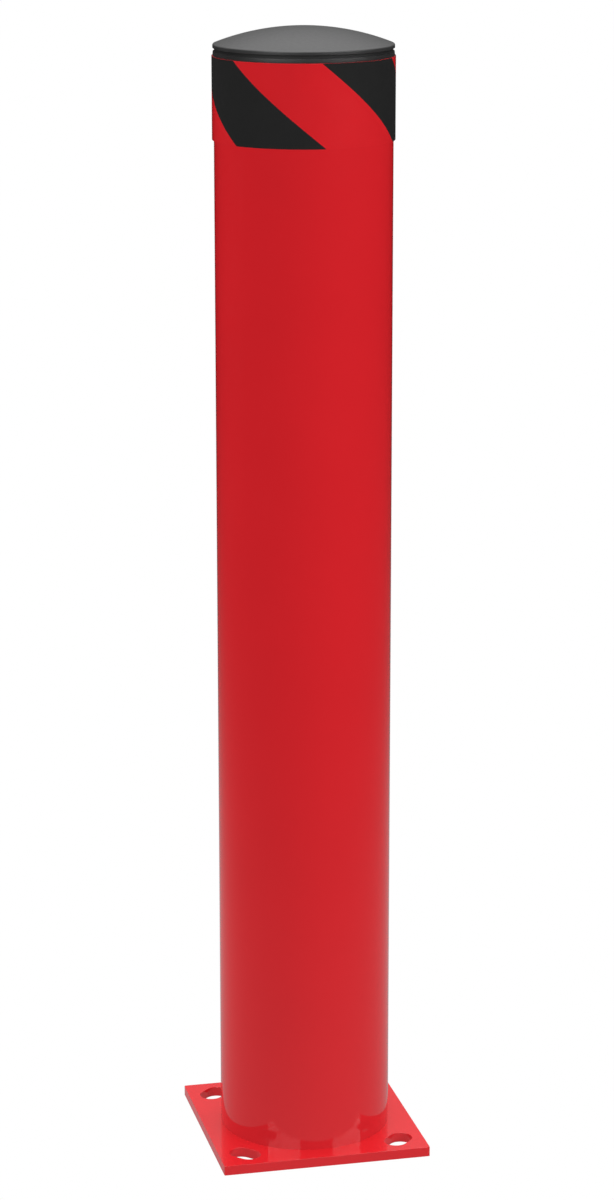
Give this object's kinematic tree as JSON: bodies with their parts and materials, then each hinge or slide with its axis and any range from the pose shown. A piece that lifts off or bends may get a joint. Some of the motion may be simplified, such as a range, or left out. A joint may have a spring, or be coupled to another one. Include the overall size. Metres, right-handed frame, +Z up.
{
  "type": "safety bollard",
  "caption": "Fixed steel pipe bollard welded upright on a square anchor plate with slotted holes, with a striped hazard sleeve and a domed push-in cap.",
  "frame": {"origin": "middle of the base plate's underside, where the bollard meets the ground", "axes": "+Z up along the pipe, X and Y along the sides of the base plate"},
  "size_m": [0.2032, 0.2032, 1.0773],
  "materials": {
    "red_paint": "gloss",
    "red_vinyl": "satin",
    "black_vinyl": "matte",
    "seal_rubber": "matte",
    "cap_plastic": "satin"
  },
  "bodies": {
    "post": {"base_plate": "red_paint", "base_weld": "red_paint", "post_tube": "red_paint", "hazard_sleeve": "red_vinyl", "black_stripe_1": "black_vinyl", "black_stripe_2": "black_vinyl", "black_stripe_3": "black_vinyl"},
    "cap": {"cap_seal_ring": "seal_rubber", "cap_dome": "cap_plastic"}
  },
  "joints": [
    {"name": "cap_pull_off", "type": "slide", "parent": "post", "child": "cap", "axis": [0, 0, 1], "range_m": [0, 0.045]}
  ]
}
